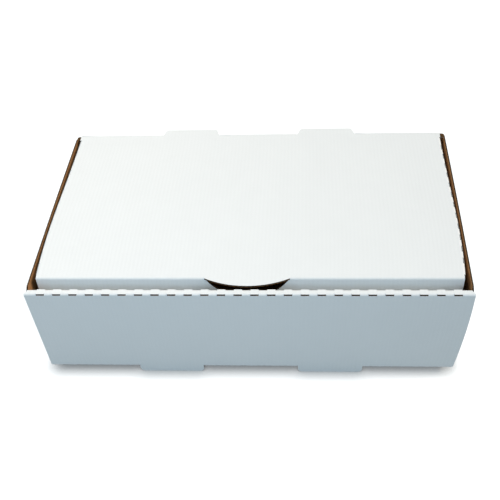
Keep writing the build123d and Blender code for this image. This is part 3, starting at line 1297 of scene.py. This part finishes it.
@dataclass(frozen=True)
class LidCrease:
    """The lid's rear crease: both liners, drawn round the closed crease."""

    board: Board
    tray: Tray
    lid: Lid
    bend_steps: int = 8

    def build(self, seat: Matrix, papers: list[bpy.types.Material]) -> list[bpy.types.Object]:
        """Builds and dresses both liners.

        Args:
            seat: matrix that sets the level box down.
            papers: materials in the order of Surface.

        Returns:
            The outside and the inside liner.
        """
        outside, inside = self.board.fold_outside, self.board.fold_inside + self.board.liner
        return [
            self.liner("lid_crease_outside", outside, seat, papers[Surface.WHITE.value]),
            self.liner("lid_crease_inside", inside, seat, papers[Surface.KRAFT.value]),
        ]

    def spans(self) -> list[Pair]:
        """Stretches of crease beside and between the vents.

        Returns:
            Start and end of each, from left to right.
        """
        tongue = self.tray.rear_tongue
        inner, outer = tongue.middle - tongue.vent_half, tongue.middle + tongue.vent_half
        return [(-self.lid.half, -outer), (-inner, inner), (outer, self.lid.half)]

    def liner(self, name: str, radius: float, seat: Matrix, paper: bpy.types.Material) -> bpy.types.Object:
        """One liner round the crease, as a thin closed shell.

        Args:
            name: the piece's name.
            radius: radius of its outer face.
            seat: matrix that sets the level box down.
            paper: its material.

        Returns:
            The piece.
        """
        centre = Vector((0, self.lid.rear, self.tray.height))
        shell = bmesh.new()
        flat = shell.loops.layers.uv.new(FLAT_MAP)
        for start, stop in self.spans():
            count = max(2, ceil((stop - start) / self.board.grid))
            places = [start + (stop - start) * index / count for index in range(count + 1)]
            rings = [self._ring(shell, centre + Vector((place, 0, 0)), radius) for place in places]
            self._close(shell, rings)
        bmesh.ops.recalc_face_normals(shell, faces=shell.faces)
        for face in shell.faces:
            face.smooth = True
            for loop in face.loops:
                loop[flat].uv = (loop.vert.co.x, loop.vert.co.z - loop.vert.co.y)
        mesh = bpy.data.meshes.new(name)
        shell.to_mesh(mesh)
        shell.free()
        mesh.transform(seat)
        mesh.materials.append(paper)
        piece = linked(name, mesh)
        start = seat @ (centre + Vector((0, radius, 0)))
        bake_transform(piece)
        return piece

    def _ring(self, shell: bmesh.types.BMesh, centre: Vector, radius: float) -> list[Rung]:
        """Adds one row of points round the crease.

        Args:
            shell: the liner's mesh.
            centre: the crease's centre at that row.
            radius: radius of the liner's outer face.

        Returns:
            The inner and the outer point at each step.
        """
        ring: list[Rung] = []
        for step in range(self.bend_steps + 1):
            angle = SQUARE * step / self.bend_steps
            out = Vector((0, cos(angle), sin(angle)))
            inner = shell.verts.new(centre + (radius - self.board.liner) * out)
            ring.append((inner, shell.verts.new(centre + radius * out)))
        return ring

    def _close(self, shell: bmesh.types.BMesh, rings: list[list[Rung]]) -> None:
        """Adds the faces between rows of points, and closes the shell's four ends.

        Args:
            shell: the liner's mesh.
            rings: the rows of points, from one end of the stretch to the other.
        """
        for ring, following in zip(rings, rings[1:]):
            for step in range(self.bend_steps):
                for side in (0, 1):
                    low = (ring[step][side], following[step][side])
                    high = (following[step + 1][side], ring[step + 1][side])
                    shell.faces.new(low + high)
            for step in (0, self.bend_steps):
                shell.faces.new((*ring[step], *following[step][::-1]))
        for ring in (rings[0], rings[-1]):
            for near, far in zip(ring, ring[1:]):
                shell.faces.new((*near, *far[::-1]))


@dataclass(frozen=True)
class Grain:
    """A noise in the paper: its scale along and across the sheet, its finer layers and their strength."""

    along: float
    across: float
    layers: float
    strength: float


class NodeBench:
    """The nodes of a material or a world, with short ways to add to them."""

    def __init__(self, owner: bpy.types.Material | bpy.types.World) -> None:
        """Switches nodes on.

        Args:
            owner: the material or world.
        """
        owner.use_nodes = True
        self.nodes, self.links = owner.node_tree.nodes, owner.node_tree.links

    def maths(
        self, kind: str, first: bpy.types.NodeSocket | float, second: bpy.types.NodeSocket | float
    ) -> bpy.types.NodeSocket:
        """Adds a Math node.

        Args:
            kind: its operation.
            first: its first value, a number or another node's output.
            second: its second value, the same way.

        Returns:
            Its result.
        """
        node = self.nodes.new("ShaderNodeMath")
        node.operation = kind
        for socket, value in zip(node.inputs, (first, second)):
            if isinstance(value, (int, float)):
                socket.default_value = value
            else:
                self.links.new(value, socket)
        return node.outputs["Value"]

    def noise(self, place: bpy.types.NodeSocket, grain: Grain) -> bpy.types.NodeSocket:
        """Adds a noise that can be stretched.

        Args:
            place: the coordinates that it is drawn on.
            grain: its scales and layers.

        Returns:
            Its value, about 0.5 on average.
        """
        mapping = self.nodes.new("ShaderNodeMapping")
        mapping.inputs["Scale"].default_value = (grain.along, grain.across, 1)
        texture = self.nodes.new("ShaderNodeTexNoise")
        texture.inputs["Scale"].default_value = 1
        texture.inputs["Detail"].default_value = grain.layers
        texture.inputs["Roughness"].default_value = grain.strength
        self.links.new(place, mapping.inputs["Vector"])
        self.links.new(mapping.outputs["Vector"], texture.inputs["Vector"])
        return texture.outputs["Fac"]

    def seen(self) -> bpy.types.NodeSocket:
        """1 for what the camera sees, straight, in gloss or through glass, and 0 for other light.

        Returns:
            That switch.
        """
        path = self.nodes.new("ShaderNodeLightPath")
        either = self.maths("MAXIMUM", path.outputs["Is Camera Ray"], path.outputs["Is Glossy Ray"])
        return self.maths("MAXIMUM", either, path.outputs["Is Transmission Ray"])


@dataclass(frozen=True)
class PaperFinish:
    """A liner or fluting paper, or the painted shade of the board's hollows: its colour, its fibres and how
    the flutes show through.
    """

    name: str
    colour: Triple
    fibre_colour: Triple
    fibre_share: float
    mottle: float
    washboard: float
    bump: float
    roughness: float
    fibre_grain: Grain = Grain(along=900.0, across=2600.0, layers=3.0, strength=0.6)
    cloud_grain: Grain = Grain(along=60.0, across=45.0, layers=4.0, strength=0.55)
    patch_grain: Grain = Grain(along=14.0, across=9.0, layers=2.0, strength=0.5)
    fibre_edge: float = 0.12
    wave_relief: float = 0.5
    fibre_relief: float = 0.35
    cloud_relief: float = 0.8
    relief_depth: float = 0.05 * MM
    roughness_swing: float = 0.12
    gloss: float = 0.35

    def material(self, board: Board) -> bpy.types.Material:
        """The paper as a material, drawn on the flat sheet's coordinates.

        Args:
            board: the board, for the pitch of its flutes.

        Returns:
            The material.
        """
        material = bpy.data.materials.new(self.name)
        bench = NodeBench(material)
        nodes, links, maths = bench.nodes, bench.links, bench.maths
        shader = nodes["Principled BSDF"]
        place = nodes.new("ShaderNodeUVMap")
        place.uv_map = FLAT_MAP
        parts = nodes.new("ShaderNodeSeparateXYZ")
        links.new(place.outputs["UV"], parts.inputs["Vector"])
        wave = maths("SINE", maths("MULTIPLY", parts.outputs["X"], 2 * pi / board.flute_pitch), 0.0)
        fibres = bench.noise(place.outputs["UV"], self.fibre_grain)
        clouds = bench.noise(place.outputs["UV"], self.cloud_grain)
        patches = bench.noise(place.outputs["UV"], self.patch_grain)

        ramp = nodes.new("ShaderNodeMapRange")
        ramp.inputs["From Min"].default_value = 1 - self.fibre_share - self.fibre_edge
        ramp.inputs["From Max"].default_value = 1 - self.fibre_share + self.fibre_edge
        links.new(fibres, ramp.inputs["Value"])
        tint = nodes.new("ShaderNodeMix")
        tint.data_type = "RGBA"
        tint.inputs["A"].default_value = (*self.colour, 1)
        tint.inputs["B"].default_value = (*self.fibre_colour, 1)
        links.new(ramp.outputs["Result"], tint.inputs["Factor"])
        shade = maths("MULTIPLY", maths("SUBTRACT", clouds, 0.5), self.mottle)
        shade = maths("ADD", shade, maths("MULTIPLY", maths("SUBTRACT", patches, 0.5), self.mottle))
        shade = maths("ADD", shade, maths("MULTIPLY", wave, self.washboard))
        scaled = nodes.new("ShaderNodeVectorMath")
        scaled.operation = "SCALE"
        links.new(tint.outputs["Result"], scaled.inputs[0])
        links.new(maths("ADD", shade, 1.0), scaled.inputs["Scale"])
        links.new(scaled.outputs["Vector"], shader.inputs["Base Color"])

        relief = maths("MULTIPLY", wave, self.wave_relief)
        relief = maths("ADD", relief, maths("MULTIPLY", fibres, self.fibre_relief))
        relief = maths("ADD", relief, maths("MULTIPLY", clouds, self.cloud_relief))
        bump = nodes.new("ShaderNodeBump")
        bump.inputs["Strength"].default_value = self.bump
        bump.inputs["Distance"].default_value = self.relief_depth
        links.new(relief, bump.inputs["Height"])
        links.new(bump.outputs["Normal"], shader.inputs["Normal"])
        rough = maths("MULTIPLY", fibres, self.roughness_swing)
        rough = maths("ADD", rough, self.roughness - self.roughness_swing / 2)
        links.new(rough, shader.inputs["Roughness"])
        shader.inputs["Specular IOR Level"].default_value = self.gloss
        return material


WHITE_LINER = PaperFinish(
    name="white_liner",
    colour=(0.905, 0.915, 0.905),
    fibre_colour=(0.86, 0.865, 0.85),
    fibre_share=0.3,
    mottle=0.03,
    washboard=0.005,
    bump=0.35,
    roughness=0.6,
)
KRAFT_LINER = PaperFinish(
    name="kraft_liner",
    colour=(0.37, 0.18, 0.065),
    fibre_colour=(0.27, 0.125, 0.042),
    fibre_share=0.42,
    mottle=0.16,
    washboard=0.03,
    bump=0.6,
    roughness=0.78,
)
# The fluting's own brown, darkened further: partly the paper's colour, partly painted shade of the cut edges
# and flute channels where it shows.
FLUTING_PAINTED_DARK = PaperFinish(
    name="fluting",
    colour=(0.14, 0.07, 0.027),
    fibre_colour=(0.10, 0.048, 0.018),
    fibre_share=0.45,
    mottle=0.2,
    washboard=0.0,
    bump=0.6,
    roughness=0.85,
)
# Near-black on the walls and back of a cut edge's hollow: painted shade standing in for the darkness deep in
# the flutes, which the shallow recess doesn't cast.
HOLLOW_PAINTED_SHADE = PaperFinish(
    name="painted_shade_in_the_board_hollow",
    colour=(0.03, 0.023, 0.018),
    fibre_colour=(0.02, 0.015, 0.012),
    fibre_share=0.45,
    mottle=0.2,
    washboard=0.0,
    bump=0.4,
    roughness=0.9,
)


@dataclass(frozen=True)
class Sun:
    """The main light, far away and broad."""

    towards: Triple = (0.74, 0.15, 0.68)
    angle: float = radians(20)
    strength: float = 2.08
    colour: Triple = (1.0, 0.87, 0.75)

    def hang(self) -> None:
        """Adds the light."""
        data = bpy.data.lights.new("key", "SUN")
        data.angle = self.angle
        data.energy = self.strength
        data.color = self.colour
        lamp = linked("key", data)
        lamp.rotation_euler = (-Vector(self.towards)).to_track_quat("-Z", "Y").to_euler()


@dataclass(frozen=True)
class Lamp:
    """A square soft lamp: where it hangs, what it points at, its watts, its colour and its side."""

    name: str
    place: Triple
    target: Triple
    power: float
    colour: Triple
    size: float = 0.3

    def hang(self) -> None:
        """Adds the lamp."""
        data = bpy.data.lights.new(self.name, "AREA")
        data.size = self.size
        data.energy = self.power
        data.color = self.colour
        lamp = linked(self.name, data)
        lamp.location = self.place
        lamp.rotation_euler = (Vector(self.target) - Vector(self.place)).to_track_quat("-Z", "Y").to_euler()


@dataclass(frozen=True)
class Camera:
    """The camera of the photograph, with its turns in radians and its lens in millimetres."""

    place: Triple = (51.08 * MM, -466.2 * MM, 551.87 * MM)
    heading: float = radians(-4.79)
    pitch: float = radians(47.63)
    roll: float = radians(-3.657)
    lens: float = 55.741
    sensor: float = 36.0
    shift: float = -0.04
    nearest: float = 0.01

    def stand(self) -> None:
        """Adds the camera and makes it the scene's own."""
        data = bpy.data.cameras.new("camera")
        data.lens = self.lens
        data.sensor_width = self.sensor
        data.shift_x = self.shift
        data.clip_start = self.nearest
        camera = linked("camera", data)
        level = Vector((cos(self.heading), -sin(self.heading), 0))
        forward = Vector((sin(self.heading), cos(self.heading), 0))
        ahead = cos(self.pitch) * forward - Vector((0, 0, sin(self.pitch)))
        up = level.cross(ahead)
        right = cos(self.roll) * level + sin(self.roll) * up
        upper = cos(self.roll) * up - sin(self.roll) * level
        turn = Matrix((right, upper, -ahead)).transposed()
        camera.matrix_world = Matrix.Translation(self.place) @ turn.to_4x4()
        bpy.context.scene.camera = camera


@dataclass(frozen=True)
class Studio:
    """Camera, soft lamps, white surroundings and a pale floor."""

    camera: Camera = Camera()
    key: Sun = Sun()
    side: Lamp = Lamp(
        name="side",
        place=(-0.25, 0.05, 0.60),
        target=(-0.25, 0.05, 0.0),
        power=0.6,
        colour=(1.0, 0.97, 0.92),
    )
    fill: Lamp = Lamp(
        name="fill",
        place=(-0.10, -0.58, 0.40),
        target=(0.0, -0.10, 0.05),
        power=0.78,
        colour=(0.60, 0.80, 1.0),
    )
    sky: Triple = (0.74, 0.90, 1.0)
    sky_strength: float = 0.44
    floor_size: float = 6.0
    floor_colour: Triple = (0.32, 0.34, 0.34)
    floor_roughness: float = 0.9
    floor_lift: float = 0.92  # how much an open floor glows to the camera, which turns it white
    # reach of the painted contact shadow: within it the floor's glow is dimmed by ambient occlusion
    contact_shadow: float = 12.0 * MM
    shadow_fall: float = 2.0  # how steeply that glow falls towards the box
    shadow_samples: int = 8

    def build(self) -> None:
        """Adds everything that isn't part of the box."""
        bpy.context.scene.view_settings.view_transform = "Standard"
        self.camera.stand()
        self.world()
        for light in (self.key, self.side, self.fill):
            light.hang()
        self.floor()

    def world(self) -> None:
        """White to the camera and in reflections, and a dimmer cool light for the rest."""
        world = bpy.data.worlds.new("surroundings")
        bpy.context.scene.world = world
        bench = NodeBench(world)
        nodes, links = bench.nodes, bench.links
        seen = nodes["Background"]
        seen.inputs["Color"].default_value = (1, 1, 1, 1)
        seen.inputs["Strength"].default_value = 1.0
        light = nodes.new("ShaderNodeBackground")
        light.inputs["Color"].default_value = (*self.sky, 1)
        light.inputs["Strength"].default_value = self.sky_strength
        mixed = nodes.new("ShaderNodeMixShader")
        links.new(bench.seen(), mixed.inputs["Fac"])
        links.new(light.outputs["Background"], mixed.inputs[1])
        links.new(seen.outputs["Background"], mixed.inputs[2])
        links.new(mixed.outputs["Shader"], nodes["World Output"].inputs["Surface"])

    def floor(self) -> None:
        """A pale floor that is white to the camera; its dim diffuse part keeps the real shadow, and its glow
        to the camera is dimmed by ambient occlusion near the box, which paints a contact shadow where it
        touches down.
        """
        mesh = bpy.data.meshes.new("floor")
        reach = self.floor_size / 2
        corners = [(-reach, -reach, 0), (reach, -reach, 0), (reach, reach, 0), (-reach, reach, 0)]
        mesh.from_pydata(corners, [], [(0, 1, 2, 3)])
        ground = linked("floor", mesh)
        material = bpy.data.materials.new("pale_floor")
        bench = NodeBench(material)
        shader = bench.nodes["Principled BSDF"]
        shader.inputs["Base Color"].default_value = (*self.floor_colour, 1)
        shader.inputs["Roughness"].default_value = self.floor_roughness
        shader.inputs["Specular IOR Level"].default_value = 0.0
        shader.inputs["Emission Color"].default_value = (1, 1, 1, 1)
        # Painted contact shadow: ambient occlusion dims the glow near the box.
        painted_shadow_ao = bench.nodes.new("ShaderNodeAmbientOcclusion")
        painted_shadow_ao.samples = self.shadow_samples
        painted_shadow_ao.inputs["Distance"].default_value = self.contact_shadow
        glow = bench.maths("POWER", painted_shadow_ao.outputs["AO"], self.shadow_fall)
        glow = bench.maths("MULTIPLY", glow, self.floor_lift)
        glow = bench.maths("MULTIPLY", glow, bench.seen())
        bench.links.new(glow, shader.inputs["Emission Strength"])
        mesh.materials.append(material)


def resting_seat(tray: Tray) -> Matrix:
    """Matrix that sets the level box down on its front tongues and its rear fold.

    Args:
        tray: the tray, which carries the box.

    Returns:
        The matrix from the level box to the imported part's frame.
    """
    board = tray.board
    up = board.fold_outside + tray.tongue_drop
    along = tray.depth - board.fold_outside - board.thickness
    tilt = acos(board.fold_outside / hypot(up, along)) - atan2(along, up)
    lowest = Vector(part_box("tray")[0])
    lean = Matrix.Rotation(-tilt, 3, "X")
    foot = lean @ Vector((0, 0, -tray.tongue_drop))
    heel = lean @ Vector((0, board.thickness, -tray.tongue_drop))
    return Matrix.Translation((0, lowest.y - foot.y, lowest.z - heel.z)) @ lean.to_4x4()


def main() -> None:
    """Builds the box and the studio, and reports each piece."""
    logging.basicConfig(level=logging.INFO, format="%(message)s")
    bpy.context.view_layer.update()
    board = Board()
    tray = Tray(board)
    lid = Lid(board, tray)
    crease = LidCrease(board, tray, lid)
    seat = resting_seat(tray)
    papers = [finish.material(board) for finish in (WHITE_LINER, KRAFT_LINER, FLUTING_PAINTED_DARK, HOLLOW_PAINTED_SHADE)]
    pieces = [tray.build(seat, papers), lid.build(seat, papers), *crease.build(seat, papers)]
    for piece in pieces:
        log.info("%s: %d faces", piece.name, len(piece.data.polygons))
    Studio().build()


if __name__ == "__main__":
    main()
